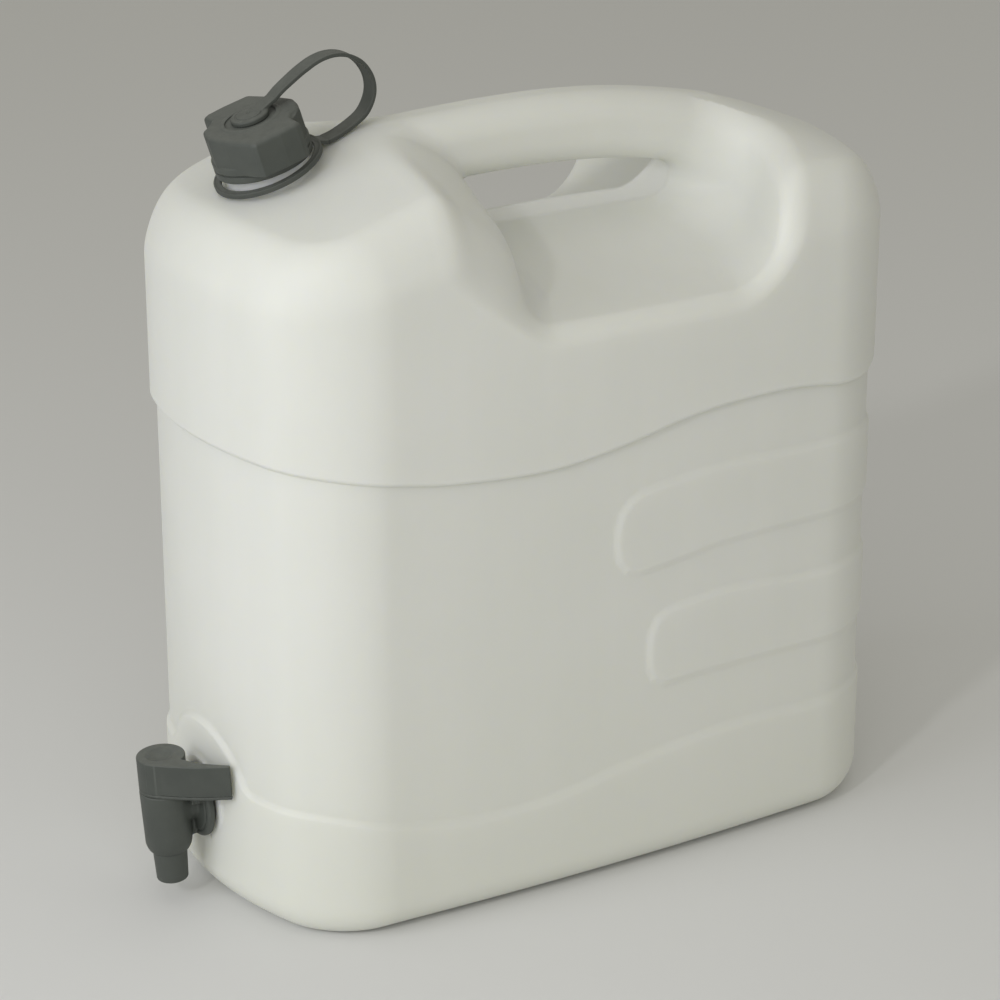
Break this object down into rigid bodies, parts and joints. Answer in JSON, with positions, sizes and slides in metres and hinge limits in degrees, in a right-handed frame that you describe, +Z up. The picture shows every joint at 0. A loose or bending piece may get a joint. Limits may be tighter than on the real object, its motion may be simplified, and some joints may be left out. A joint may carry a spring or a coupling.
{
  "type": "jerry can",
  "caption": "Upright plastic water can with a carry handle, a leaning screw cap kept on a strap loop, and a lever drain tap low on one end.",
  "frame": {"origin": "on the ground under the middle of the can's body", "axes": "+X along the can's length, away from the tap; +Y across its width; +Z up"},
  "size_m": [0.4094, 0.2014, 0.4213],
  "materials": {
    "natural_plastic": "satin, slightly translucent off-white",
    "grey_plastic": "fine matte moulded grey",
    "strap_plastic": "soft matte grey",
    "seal_rubber": "matte"
  },
  "bodies": {
    "root": {"can_body": "natural_plastic", "strap_ring": "strap_plastic", "strap_band": "strap_plastic", "tap_housing": "grey_plastic", "tap_gasket": "seal_rubber"},
    "cap_carrier": {"strap_eye": "strap_plastic"},
    "cap": {"screw_cap": "grey_plastic", "cap_seal": "seal_rubber"},
    "tap_valve": {"tap_lever": "grey_plastic", "tap_plug": "grey_plastic", "plug_seal_upper": "seal_rubber", "plug_seal_lower": "seal_rubber"}
  },
  "joints": [
    {"name": "cap_lift", "type": "slide", "parent": "root", "child": "cap_carrier", "axis": [-0.309, 0, 0.9511], "range_m": [0, 0.021], "deforming": ["strap_band"]},
    {"name": "cap_turn", "type": "hinge", "parent": "cap_carrier", "child": "cap", "pos_m": [-0.14036, 0, 0.36884], "axis": [-0.309, 0, 0.9511], "range_deg": [0, 1260]},
    {"name": "tap_turn", "type": "hinge", "parent": "root", "child": "tap_valve", "pos_m": [-0.2071, 0, 0.0518], "axis": [0.0576, 0, -0.9983], "range_deg": [0, 90]}
  ],
  "couplings": [
    {"joint": "cap_lift", "follows": "cap_turn", "m_per_rad": 0.00095493}
  ]
}
